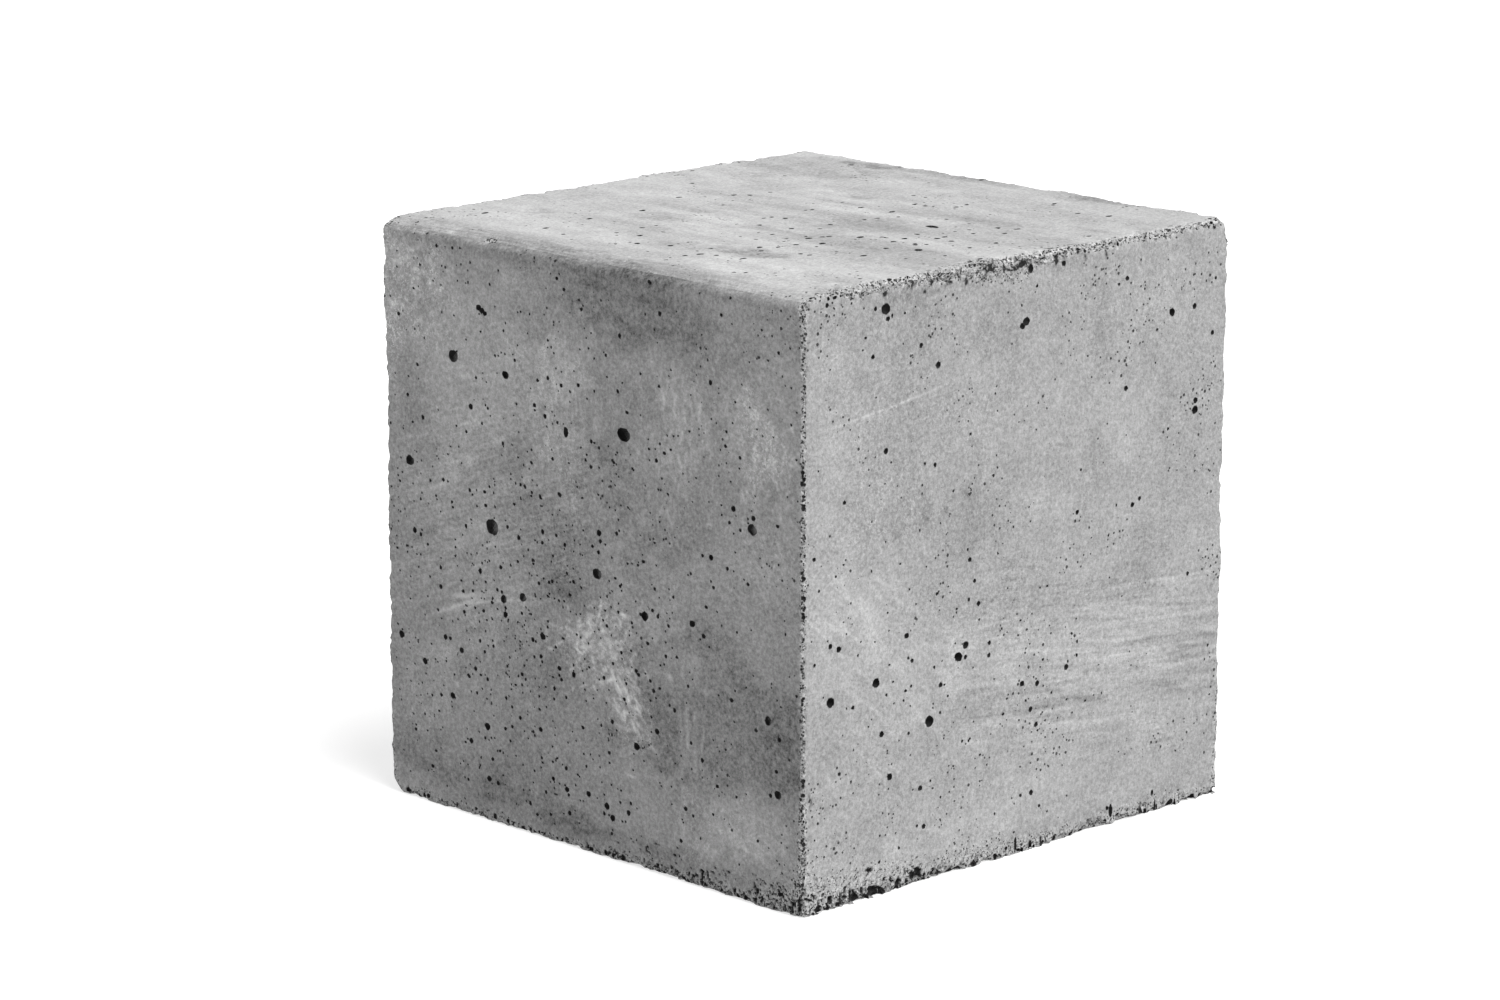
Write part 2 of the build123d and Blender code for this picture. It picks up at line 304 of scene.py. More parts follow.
def value_noise(points, size, seed):
    """Smooth noise in -1..1 with blobs about size across, in millimetres. size may be x, y, z."""
    lattice = np.random.default_rng(seed).uniform(-1, 1, (48, 48, 48))
    scaled = points / np.asarray(size, float) + 1000.37
    base = np.floor(scaled).astype(int)
    part = scaled - base
    part = part * part * (3 - 2 * part)
    total = np.zeros(len(points))
    for corner in np.ndindex(2, 2, 2):
        at = (base + corner) % 48
        weight = np.prod(np.where(corner, part, 1 - part), axis=1)
        total += weight * lattice[at[:, 0], at[:, 1], at[:, 2]]
    return total


def layers(points, *noises):
    """A sum of noises, each given as its strength, its size and its seed."""
    return sum(strength * value_noise(points, size, seed) for strength, size, seed in noises)


def grain_noise(points, size, seed):
    """Rounded grains about size across: 1 in the middle of a grain, falling to 0 between grains."""
    jitter = np.random.default_rng(seed).uniform(0, 1, (32, 32, 32, 3))
    scaled = points / size + 1000.37
    base = np.floor(scaled).astype(int)
    nearest = np.full(len(points), 9.0)
    for step in np.ndindex(3, 3, 3):
        cell = base + step - 1
        at = cell % 32
        offset = cell + jitter[at[:, 0], at[:, 1], at[:, 2]] - scaled
        nearest = np.minimum(nearest, (offset * offset).sum(axis=1))
    return np.clip(1 - nearest, 0, 1)


def cube_grid():
    """Points of the cube's skin, in millimetres from its centre, and the quads between them."""
    steps = np.arange(CELLS + 1)
    a, b = np.meshgrid(steps, steps, indexing="ij")
    a, b = a.ravel(), b.ravel()
    row = (CELLS + 1) * np.arange(CELLS)[:, None] + np.arange(CELLS)
    first = row.ravel()
    quads = np.stack([first, first + CELLS + 1, first + CELLS + 2, first + 1], axis=1)
    grids, faces = [], []
    for number, (axis, sign) in enumerate(SIDES.values()):
        places = np.empty((len(a), 3), int)
        places[:, axis] = CELLS if sign > 0 else 0
        places[:, (axis + 1) % 3] = a
        places[:, (axis + 2) % 3] = b
        grids.append(places)
        faces.append((quads if sign > 0 else quads[:, ::-1]) + number * len(a))
    grids, faces = np.concatenate(grids), np.concatenate(faces)
    key = grids @ [1, CELLS + 1, (CELLS + 1) ** 2]
    _, kept, merged = np.unique(key, return_index=True, return_inverse=True)
    return grids[kept] * (EDGE / CELLS) - HALF, merged[faces]


def distances(points):
    """Each point's distance in from each side."""
    return {name: HALF - sign * points[:, axis] for name, (axis, sign) in SIDES.items()}


def outward(points):
    """The way out of the skin: straight on a face, and fanning out within RAY_REACH of an arris."""
    ray = points - np.clip(points, RAY_REACH - HALF, HALF - RAY_REACH)
    return ray / np.linalg.norm(ray, axis=1)[:, None]


def sand(points):
    """How deep each point lies between its sand grains, from 0 on a grain to 1 in a gap."""
    return 1 - np.minimum(1, 1.5 * grain_noise(points, SAND_GRAIN, 24))


def cut_depth(points, rays, inset, legs, wander, grain, soft):
    """How far in a worn, sandy plane lies along each ray. legs gives its reach from each side."""
    beyond = sum(inset[name] / leg for name, leg in legs.items())
    least = min(legs.values())
    near = np.flatnonzero(beyond < 1 + 3 * (wander + soft) / least)
    here = points[near]
    rough = layers(here, (1, 11, 21), (0.8, 3.6, 22), (0.6, 1.3, 23))
    gap = 1 - beyond[near] + rough * wander / least
    gap = (gap + np.sqrt(gap * gap + (soft / least) ** 2)) / 2
    closing = sum(SIDES[name][1] * rays[near, SIDES[name][0]] / leg for name, leg in legs.items())
    cut = np.where(gap > 0.01, gap, 0) / np.maximum(closing, 0.08 / least)
    cut += smoothstep(0.02, 0.35, cut) * grain * (1.6 * sand(here) - 0.4)
    depth = np.zeros(len(points))
    depth[near] = cut
    return depth


def round_depth(rays, inset, legs):
    """How far in an elliptic round lies along each ray. legs gives its reach from its two sides."""
    past = np.stack([1 - inset[name] / leg for name, leg in legs.items()])
    slope = np.stack([SIDES[name][1] * rays[:, SIDES[name][0]] / leg for name, leg in legs.items()])
    outside = (past.min(axis=0) > 0) & ((past * past).sum(axis=0) > 1)
    speed = np.maximum((slope * slope).sum(axis=0), 1e-9)
    along = (past * slope).sum(axis=0)
    room = along * along - speed * ((past * past).sum(axis=0) - 1)
    return np.where(outside, (along - np.sqrt(np.maximum(room, 0))) / speed, 0)


def bite_depth(points, rays, middle, radius):
    """How far in a ball-shaped, ragged bite reaches along each ray."""
    box = np.abs(points - middle).max(axis=1)
    near = np.flatnonzero(box < radius * 1.4)
    here, ray = points[near], rays[near]
    offset = here - middle
    ragged = 1 + layers(here, (0.16, 3.1, 31), (0.12, 1.3, 32))
    along = (offset * ray).sum(axis=1)
    inside = (radius * ragged) ** 2 - (offset * offset).sum(axis=1)
    cut = np.where(inside > 0, along + np.sqrt(along * along + np.maximum(inside, 0)), 0)
    cut += smoothstep(0, 0.3, cut) * 0.45 * (1.6 * sand(here) - 0.4)
    depth = np.zeros(len(points))
    depth[near] = np.maximum(cut, 0)
    return depth


def sandy_zone(points, inset):
    """How thickly bare sand shows, 0 to 1: in a band round the base and in strips on the arrises."""
    up = inset["-Z"]
    front = np.exp(-(inset["+X"] + inset["-Y"]) / 8)
    comb = np.exp(-inset["+X"] / 3 - ((points[:, 1] + 45) / 34) ** 2)
    tall = 5.5 + layers(points, (3, (14, 14, LONG), 41), (2, 3, 42)) + 15 * front + 7 * comb
    zone = 0.95 * smoothstep(tall, 0, up) * (up > 0)
    zone *= 1 - 0.35 * smoothstep(20, -40, points[:, 0]) * np.exp(-inset["-Y"] / 3)
    for pair, half_width, wander in SANDY_ARRISES:
        away = inset[pair[0]] + inset[pair[1]]
        near = np.flatnonzero(away < 14)
        here = points[near]
        wide = half_width + layers(here, (wander, 9, 46), (0.3, 2, 47))
        wide = np.maximum(wide, 0.1)
        if pair == CRUMBLED:  # most of all in the middle
            wide = wide * (0.5 + 1.2 * np.exp(-((here[:, 1] + 10) / 30) ** 2))
        if pair[1] in ("-Y", "+Y"):  # an upright arris, wider towards the base
            wide = wide + 2.2 * np.exp(-up[near] / 12)
        zone[near] = np.maximum(zone[near], smoothstep(1.9 * wide, 0.5 * wide, away[near]))
    return zone


def leaked_base(points, inset):
    """Depth of the pits along the base, where grout leaked out of the mould's joint."""
    depth = np.zeros(len(points))
    near = np.flatnonzero((inset["-Z"] < 10) & (inset["-Z"] > 0))
    here, up = points[near], inset["-Z"][near]
    pits = np.clip(layers(here, (1, 1.9, 43), (1, 0.9, 44)) - 0.35, 0, 1)
    pits *= 0.2 + 0.8 * smoothstep(-35, 15, here[:, 0])
    depth[near] = smoothstep(6, 0, up) * (0.25 * sand(here) + 1.4 * pits)
    return depth


def open_slots(points, inset):
    """How open the slots and dots along the base are, 0 to 1. They crowd near the front arris."""
    slots = np.zeros(len(points))
    near = np.flatnonzero((inset["-Z"] < 16) & (inset["-Z"] > 0))
    here, up = points[near], inset["-Z"][near]
    comb = np.exp(-inset["+X"][near] / 3 - ((here[:, 1] + 49) / 26) ** 4)
    crowd = np.maximum(comb, 0.5 * smoothstep(0.1, 0.8, value_noise(here, (22, 22, LONG), 48)))
    ragged = layers(here, (1, (1.1, 1.1, 6), 49), (0.5, (0.8, 0.8, 2), 50))
    tall = 1 + 1.8 * crowd + 2.4 * value_noise(here, (2.6, 2.6, LONG), 59)
    upright = smoothstep(0.5, 0.75, ragged + 0.6 * crowd) * smoothstep(tall, tall - 1, up)
    gritty = np.exp(-inset["-Y"][near] / 3) * smoothstep(-40, 50, here[:, 0])
    gritty = np.maximum(comb, 0.8 * gritty)
    front = np.exp(-(inset["+X"] + inset["-Y"])[near] / 6)
    reach = 3 + 8 * gritty + 6 * front + 3 * value_noise(here, (9, 9, LONG), 60)
    reach = np.maximum(1, reach)
    dots = layers(here, (1, 0.7, 62), (0.4, 3, 63)) + 0.45 * gritty + 0.35 * front
    dots = smoothstep(0.62, 0.85, dots - 0.5 * up / reach) * smoothstep(reach, 0.6 * reach, up)
    slots[near] = np.maximum(upright, 0.6 * dots)
    return slots


def face_depth(points, inset):
    """The cast faces' gentle waves and fine texture, and the top's trowel marks and hollows."""
    depth = 0.11 + layers(points, *FACE_WAVES)
    near = np.flatnonzero(inset["+Z"] < 3)
    here = points[near]
    marks = 0.4 + layers(here, *TROWEL_MARKS)
    for along_x, along_y, reach, deep in HOLLOWS:
        away = (here[:, 0] + HALF - along_x) ** 2 + (here[:, 1] + HALF - along_y) ** 2
        marks += deep * np.exp(-away / reach ** 2)
    depth[near] += smoothstep(3, 0, inset["+Z"][near]) * marks
    return depth


def chip_depth(points, rays):
    """How far in the small bites at random reach along each ray."""
    draw = np.random.default_rng(12)
    depth = np.zeros(len(points))
    for count, middle, spread, (least, most) in CHIPS:
        middle, spread = np.array(middle) - HALF, np.array(spread)
        near = np.flatnonzero((np.abs(points - middle) < 3 * spread + 6).all(axis=1))
        here, ray = points[near], rays[near]
        for _ in range(count):
            place = middle + spread * draw.normal(0, 0.6, 3)
            radius = least + (most - least) * draw.random() ** 2
            depth[near] = np.maximum(depth[near], bite_depth(here, ray, place, radius))
    return depth


def side_grid(name, points):
    """The numbers of a side's points as a square array: rows go up the side, columns along it."""
    corner, along, up, _ = side_frame(name)
    axis, sign = SIDES[name]
    chosen = np.flatnonzero(np.abs(points[:, axis] * sign - HALF) < 1e-6)
    place = points[chosen] - corner
    order = np.lexsort((np.round(place @ along, 4), np.round(place @ up, 4)))
    return chosen[order].reshape(CELLS + 1, CELLS + 1)


def add_stroke(paint, middle, turn, half, width, bend, strength):
    """Adds one soft, slightly bent line that fades at its ends to a side's square of tones."""
    step = EDGE / CELLS
    reach = half + 2 * width
    first = [max(0, int((place - reach) / step)) for place in middle]
    last = [min(CELLS + 1, int((place + reach) / step) + 2) for place in middle]
    if first[0] >= last[0] or first[1] >= last[1]:
        return
    x = np.arange(first[0], last[0])[None, :] * step - middle[0]
    y = np.arange(first[1], last[1])[:, None] * step - middle[1]
    cos, sin = math.cos(turn), math.sin(turn)
    share = (x * cos + y * sin) / half
    away = (y * cos - x * sin - bend * half * share * share) / width
    weight = np.exp(-away * away) * np.clip(1 - share * share, 0, 1)
    paint[first[1]:last[1], first[0]:last[0]] += strength * weight


def clouds(spots, here, ragged):
    """The sum of soft-edged, ragged spots: middle, half width and height, turn and strength."""
    total = np.zeros(here.shape[:2])
    for x, y, half_width, half_height, turn, strength in spots:
        cos, sin = math.cos(math.radians(turn)), math.sin(math.radians(turn))
        share = ((here[..., 0] - x) * cos + (here[..., 1] - y) * sin) / half_width
        rise = ((here[..., 1] - y) * cos - (here[..., 0] - x) * sin) / half_height
        total += strength * smoothstep(1.2, 0.5, np.hypot(share, rise) + ragged)
    return total


def paint_side(name, points, masks, draw):
    """Adds one side's clouds, flecks, streaks and strokes to the masks."""
    grid = side_grid(name, points)
    flat = points[grid.ravel()]
    steps = np.linspace(0, EDGE, CELLS + 1)
    here = np.stack(np.meshgrid(steps, steps), axis=-1)
    ragged = layers(flat, (0.55, 10, 71), (0.4, 3.6, 72)).reshape(grid.shape)
    crisp = (1 + 0.5 * value_noise(flat, 1.2, 73)).reshape(grid.shape)
    paint = layers(flat, *(TOP_CLOUDS_AND_WAVE_SHADE if name == "+Z" else SIDE_CLOUDS)).reshape(grid.shape)
    paint = paint + 1.25 * clouds(PATCHES[name], here, ragged) * crisp
    for count, middle, reach, turn, spread, length, width, strength in STROKES[name]:
        for _ in range(count):
            place = np.array(middle) + np.array(reach) * draw.normal(0, 0.5, 2)
            angle = math.radians(turn + spread * draw.normal())
            half, wide = length / 2 * draw.uniform(0.4, 1.5), width * draw.uniform(0.6, 1.5)
            bend, share = draw.normal(0, 0.06), draw.uniform(0.3, 1)
            add_stroke(paint, place, angle, half, wide, bend, 1.4 * strength * share)
    lines = np.zeros(grid.shape)
    for side, middle, turn, half, width, strength in LINES:
        if side == name:
            add_stroke(lines, middle, math.radians(turn), half, width, 0.02, strength)
    paint += lines * smoothstep(-0.6, 0.2, value_noise(flat, 1.1, 76)).reshape(grid.shape)
    masks["tone"][grid] += paint
    masks["flecked"][grid] += clouds(FLECKED[name], here, ragged)
    masks["brushed"][grid] += clouds(BRUSHED[name], here, ragged)


def worn_skin():
    """The worn skin's points and quads, and the material's masks, one value a point.

    worn says how sandy the skin is, tone how light, with painted shade in the base slots and painted
    light and shade on whole sides, flecked and brushed how it is marked.
    """
    points, quads = cube_grid()
    inset = distances(points)
    rays = outward(points)
    depth, worn = np.zeros(len(points)), np.zeros(len(points))
    for legs, wander, grain, soft in CUTS:
        cut = cut_depth(points, rays, inset, legs, wander, grain, soft)
        depth, worn = np.maximum(depth, cut), np.maximum(worn, cut * min(1, grain / 0.4))
    bites = [bite_depth(points, rays, np.array(middle) - HALF, radius) for middle, radius in BITES]
    for cut in (np.max(bites, axis=0), chip_depth(points, rays)):
        depth, worn = np.maximum(depth, cut), np.maximum(worn, cut)
    depth = np.maximum(depth, round_depth(rays, inset, TROWELLED))
    leak, slots = leaked_base(points, inset), open_slots(points, inset)
    depth = np.maximum(depth + 0.5 * leak, leak) + face_depth(points, inset) + SLOT_DEPTH * slots
    worn = np.maximum(smoothstep(0.1, 0.8, worn), sandy_zone(points, inset))
    # The tone starts with painted shade: the slots and dots along the base are darkened as they open.
    masks = {"worn": worn, "tone": 1 - SLOT_SHADE * slots}
    # Painted light and shade: the top is made lighter and the -Y side darker, as light falls on them.
    for name, tone in PAINTED_SIDE_LIGHT.items():
        masks["tone"][inset[name] < 0.01] += tone - 1
    masks["flecked"], masks["brushed"] = np.zeros(len(points)), np.zeros(len(points))
    draw = np.random.default_rng(9)
    for name in SIDES:
        paint_side(name, points, masks, draw)
    return points - rays * depth[:, None], quads, masks


# Bug holes as (along, up, width, height) of their mouths: along is measured from the side's left
# arris, seen from outside, and up from its lower one. On top, along runs +X and up runs +Y.
BUG_HOLES = {
    "-Y": [
        (88.5, 107.8, 4.6, 3.5), (40.5, 76.4, 4.3, 4), (26.5, 118, 3.1, 2.8), (36.4, 131.5, 1.7, 1.3),
        (37.6, 130.9, 1.9, 1.4), (38.7, 130.3, 1.4, 1.2), (78.8, 71.5, 3, 2.6), (9.3, 88.5, 2.8, 2.5),
        (133, 92, 2.7, 2.4), (133.4, 94.8, 1.3, 1.1), (95.8, 64, 2.6, 2.2), (68, 105, 1.6, 2.4),
        (46, 116, 2.3, 2.1), (51.8, 60.6, 2.2, 2.1), (44.5, 58.8, 2, 1.8), (138.4, 46.4, 2.1, 2),
        (141.6, 29, 2.1, 1.8), (139.2, 28.3, 0.9, 0.9), (92.7, 30.8, 1.9, 1.7), (59, 52, 1.9, 1.6),
        (5, 42.3, 1.8, 1.7), (14, 37, 1.7, 1.6), (37.8, 24.5, 1.8, 1.6), (24.5, 30, 1.6, 1.5),
        (45.1, 55, 1.6, 1.5), (79.7, 81.9, 1.6, 1.4), (80.2, 79.9, 1, 1), (112.5, 65.3, 1.7, 1.5),
        (116.4, 63, 1.2, 1.1), (82, 13.3, 1.7, 1.6), (84, 10.7, 1.6, 1.5), (38.2, 11, 1.6, 1.4),
        (75.3, 15, 1.5, 1.4), (67.4, 14.5, 1.4, 1.3), (89.7, 13.3, 1.3, 1.3), (33, 106, 1.4, 1.3),
        (126.7, 96, 1.4, 1.3), (119, 82.8, 1.4, 1.3), (10.8, 70.6, 1.4, 1.4), (22, 44.7, 1.4, 1.3),
        (28.2, 42.5, 1.4, 1.2), (70.2, 44.4, 1.4, 1.3), (65, 45, 1.3, 1.2), (100, 36, 1.4, 1.3),
        (31.4, 19.6, 1.4, 1.3), (57.8, 27.9, 1.3, 1.2),
    ],
    "+X": [
        (27.2, 143.4, 2.7, 2.4), (27.9, 140.9, 1.2, 1.1), (23.7, 143.8, 0.9, 0.9),
        (75.6, 133.7, 2.4, 1.9), (74.3, 132.7, 1.8, 1.6), (53, 54.4, 2.6, 2.4), (55.5, 56.9, 1.7, 1.6),
        (43, 40.2, 2.7, 2.5), (9.3, 51.4, 2.6, 2.2), (24.6, 53.4, 2.3, 2.2), (138.4, 102.4, 2.1, 1.9),
        (138.5, 104.8, 1.5, 1.4), (129, 128.7, 2, 1.9), (29.5, 29.1, 1.8, 1.7), (45, 127.5, 1.5, 1.4),
        (12, 64, 1.5, 1.4), (9.2, 65.2, 1.2, 1.1), (35, 63, 1.5, 1.4), (75.8, 43.4, 1.5, 1.4),
        (26.6, 40.3, 1.5, 1.5), (81.3, 42.4, 1.4, 1.3), (91.8, 44.5, 1.4, 1.3), (27.5, 109.3, 1.4, 1.3),
        (40.1, 24.1, 1.4, 1.3), (88.8, 146.2, 1.4, 1.3), (112, 139.4, 1.3, 1.2),
        (112.3, 111.8, 1.3, 1.3), (115.4, 81.8, 1.3, 1.2), (118, 83, 1, 1), (137.5, 129, 1.3, 1.3),
        (79, 36.2, 1.3, 1.3), (81, 31.9, 1.3, 1.2), (79.6, 14.8, 1.3, 1.2), (59.8, 66.5, 1.2, 1.2),
        (56.7, 77.9, 1.2, 1.1), (144.5, 121.3, 1.2, 1.1), (41.4, 14.3, 1.2, 1.2), (39.2, 133, 1.1, 1.1),
        (95, 83.3, 1.1, 1.1), (109.2, 3.8, 1.2, 3.2), (70, 149, 3, 1.2), (73.5, 148, 3.2, 1.6),
        (77, 146.4, 1.6, 2.2), (104, 149.2, 2, 1.2), (98, 149.3, 1.6, 0.9), (62, 149.2, 1.6, 0.8),
        (113, 149.5, 1.8, 0.8),
    ],
    "+Y": [
        (127, 121, 2.4, 2.2), (95.5, 136.5, 1.8, 1.7), (64, 118.4, 3.3, 3), (33.5, 127, 1.6, 1.5),
        (16.8, 98.5, 2.2, 2.1), (136, 84, 1.8, 1.7), (81.4, 89.3, 1.6, 1.5), (47.2, 80.6, 2.6, 2.3),
        (112.6, 66.2, 3.4, 3.1), (70.5, 58.8, 2, 1.8), (26, 52.4, 1.8, 1.8), (132.5, 39, 1.6, 1.5),
        (93, 33.5, 2.4, 2.2), (41.6, 27.2, 2, 1.8), (116, 16.4, 1.8, 1.7), (62.8, 13.1, 1.6, 1.5),
    ],
    "-X": [
        (119, 132.6, 1.6, 1.5), (66.5, 125.8, 2.6, 2.4), (23.4, 134, 1.8, 1.7), (137.4, 104.8, 2.2, 2),
        (90.2, 99.6, 1.6, 1.5), (44, 92, 3.7, 3.2), (108.8, 74.5, 2.4, 2.2), (13, 69.2, 1.8, 1.7),
        (65.6, 61.4, 2, 1.9), (129.6, 48, 3, 2.7), (36.8, 41.6, 1.6, 1.5), (84.6, 30.4, 2.2, 2),
        (18, 18.8, 1.8, 1.7), (106.4, 14.6, 1.6, 1.5),
    ],
    "+Z": [
        (105.5, 89, 4, 2.2), (99, 36, 1.6, 1.4), (101, 33, 1.5, 1.3), (99, 29.5, 1.3, 1.2),
        (126, 62.8, 2, 1.8), (85, 74, 1.6, 1.3), (111, 78, 1.5, 1.3), (113, 71.5, 1.4, 1.4),
        (116, 45, 1.3, 1.2), (113, 48, 1.2, 1.1), (84, 80, 1.2, 1.1), (91, 80, 1.2, 1.1),
        (72, 71, 1.3, 1.2), (77, 66, 1.2, 1.1), (101, 99, 1.4, 1.2), (80, 24, 1.4, 1.3),
    ],
    "-Z": [],
}
# How many smaller bug holes each side has besides, and where along and up the side they crowd.
SMALL_HOLES = {
    "-Y": (860, 60, 55), "+X": (230, 45, 50), "+Y": (300, 90, 60), "-X": (300, 60, 60),
    "+Z": (500, 98, 68), "-Z": (120, 75, 75),
}
SMALL_WIDTH = (0.42, 1.1)  # of their mouths
TOP_STRETCH = (1.3, 2)  # how much wider and higher they are on the top, which the trowel dragged
BUBBLE_SWELL = 1.04  # a bubble's width over that of its mouth
FINE_HOLE = 0.8  # radius from which a bubble has a finer mesh
WIDE_HOLE = 1  # radius from which a bug hole of the -Y side shows a paler floor, painted light
# Upright holes where grout ran out along the base: how many, and from where to where along it.
SLOTS = {"+X": (12, 52, 145), "+Y": (10, 10, 140), "-X": (10, 10, 140)}
SETS = 4  # of cutters, so that no two bubbles in a set touch


def side_frame(name):
    """A side's lower left corner seen from outside, and its along, up and outward directions."""
    axis, sign = SIDES[name]
    out = np.zeros(3)
    out[axis] = sign
    if axis == 2:
        along, up = np.array([1.0, 0, 0]), np.array([0, float(sign), 0])
    else:
        up = np.array([0, 0, 1.0])
        along = np.cross(up, out)
    return HALF * (out - along - up), along, up, out


def small_holes(name, draw):
    """A side's smaller bug holes, half of them crowded together."""
    count, crowd_along, crowd_up = SMALL_HOLES[name]
    wider, higher = TOP_STRETCH if name == "+Z" else (1, 1)
    least, most = SMALL_WIDTH
    found = []
    while len(found) < count:
        if draw.random() < 0.5:
            across, height = draw.normal(crowd_along, 26), draw.normal(crowd_up, 34)
        else:
            across, height = draw.uniform(0, EDGE, 2)
        if 2 < across < EDGE - 2 and 2 < height < EDGE - 2:
            width = least + (most - least) * draw.random() ** 3.4
            high = width * draw.uniform(0.75, 1.1)
            found.append((across, height, wider * width, higher * high))
    return found


def base_slots(name, draw):
    """A side's slots and pits along the base."""
    count, first, last = SLOTS.get(name, (0, 0, 0))
    found = []
    for _ in range(count):
        tall = 0.9 + 3.4 * draw.random() ** 1.6
        wide = draw.uniform(0.5, 1.2)
        found.append((draw.uniform(first, last), draw.uniform(0.1, 0.6) * tall, wide, tall))
    return found


def arris_pits(draw):
    """Small round pits along the sandy arrises, as bubbles."""
    found = []
    for (first, second), count, (reach_first, reach_second), (least, most) in ARRIS_PITS:
        directions = side_frame(first)[1:]
        out_first, out_second = directions[2], side_frame(second)[3]
        run = np.cross(out_first, out_second)
        for _ in range(count):
            share = draw.random()
            radius = least + (most - least) * draw.random() ** 2
            middle = (HALF - reach_first * share) * out_first
            middle = middle + (HALF - reach_second * (1 - share)) * out_second
            middle = middle + draw.uniform(-HALF, HALF) * run
            sizes = radius * draw.uniform(0.8, 1.3, 3)
            found.append((middle, *sizes, directions))
    return found


def bubble_list():
    """Every bubble as (middle, along radius, up radius, depth radius, side's directions)."""
    draw = np.random.default_rng(7)
    found = []
    for name, holes in BUG_HOLES.items():
        corner, along, up, out = side_frame(name)
        for across, height, wide, high in [*holes, *small_holes(name, draw), *base_slots(name, draw)]:
            deep = min(wide, high) / 2 * draw.uniform(0.9, 1.25)
            sunk = draw.uniform(0.05, 0.45) * deep
            middle = corner + across * along + height * up - sunk * out
            radii = (wide / 2 * BUBBLE_SWELL, high / 2 * BUBBLE_SWELL, deep)
            found.append((middle, *radii, (along, up, out)))
    return found + arris_pits(draw)


def ball(rings):
    """A unit ball's points and triangles, from an icosphere cut rings times."""
    shape = bmesh.new()
    bmesh.ops.create_icosphere(shape, subdivisions=rings, radius=1)
    points = np.array([vertex.co for vertex in shape.verts])
    triangles = np.array([[vertex.index for vertex in face.verts] for face in shape.faces])
    shape.free()
    return points, triangles


def mesh_of(name, points, faces):
    """A mesh from arrays of points, in metres, and of faces with the same number of corners."""
    corners = faces.shape[1]
    mesh = bpy.data.meshes.new(name)
    mesh.vertices.add(len(points))
    mesh.vertices.foreach_set("co", points.astype(np.float32).ravel())
    mesh.loops.add(faces.size)
    mesh.loops.foreach_set("vertex_index", faces.astype(np.int32).ravel())
    mesh.polygons.add(len(faces))
    mesh.polygons.foreach_set("loop_start", np.arange(0, faces.size, corners, dtype=np.int32))
    mesh.update(calc_edges=True)
    return mesh


def placed(points):
    """Points in millimetres from the cube's centre, as metres in the row's frame."""
    return points * MM + np.array(MIDDLE)


def add_object(name, data):
    """A new object in the scene."""
    made = bpy.data.objects.new(name, data)
    bpy.context.collection.objects.link(made)
    return made


def bubble_sets():
    """The bubbles in sets within which none touch. A bubble that fits in no set is left out."""
    sets = [[] for _ in range(SETS)]
    middles = [np.zeros((0, 3)) for _ in range(SETS)]
    reaches = [np.zeros(0) for _ in range(SETS)]
    for bubble in sorted(bubble_list(), key=lambda item: -max(item[1:4])):
        reach = 1.25 * max(bubble[1:4])
        for number in range(SETS):
            away = np.linalg.norm(middles[number] - bubble[0], axis=1)
            if (away > reach + reaches[number]).all():
                sets[number].append(bubble)
                middles[number] = np.vstack([middles[number], bubble[0]])
                reaches[number] = np.append(reaches[number], reach)
                break
    return sets


def bubble_cutters(materials):
    """Objects that hold all the bubbles, with the second material, which paints light on the floor, on
    the -Y side's wide ones.
    """
    draw = np.random.default_rng(8)
    shapes = {rings: ball(rings) for rings in (2, 3)}
    cutters = []
    for number, members in enumerate(bubble_sets()):
        points, faces, painted_light_floor, used = [], [], [], 0
        for middle, wide, high, deep, (along, up, out) in members:
            unit, triangles = shapes[3 if wide > FINE_HOLE else 2]
            lumpy = 1 + 0.2 * value_noise(unit + draw.uniform(0, 90, 3), 0.8, 61)
            # Painted light goes on the floors of the -Y side's wide holes.
            painted_light_floor.extend([int(wide > WIDE_HOLE and out[1] < -0.5)] * len(triangles))
            shaped = unit * lumpy[:, None] * [wide, high, deep]
            points.append(middle + shaped @ np.array([along, up, out]))
            faces.append(triangles + used)
            used += len(unit)
        mesh = mesh_of(f"bubbles_{number}", placed(np.concatenate(points)), np.concatenate(faces))
        for material in materials:
            mesh.materials.append(material)
        mesh.polygons.foreach_set("material_index", np.array(painted_light_floor, np.int32))
        cutters.append(add_object(mesh.name, mesh))
    return cutters


def cut_out(block, cutters):
    """Takes the cutters' shapes out of the block, and leaves the result as the block's mesh."""
    for cutter in cutters:
        cut = block.modifiers.new(cutter.name, "BOOLEAN")
        cut.operation, cut.solver, cut.object = "DIFFERENCE", "MANIFOLD", cutter
        cut.material_mode = "TRANSFER"
    graph = bpy.context.evaluated_depsgraph_get()
    result = bpy.data.meshes.new_from_object(block.evaluated_get(graph))
    block.modifiers.clear()
    block.data = result
    for cutter in cutters:
        bpy.data.objects.remove(cutter)


def read(items, key, width=1, kind=np.float32):
    """One property of each of a mesh's points, faces or corners, as an array."""
    values = np.empty(len(items) * width, kind)
    items.foreach_get(key, values)
    return values.reshape(-1, width) if width > 1 else values


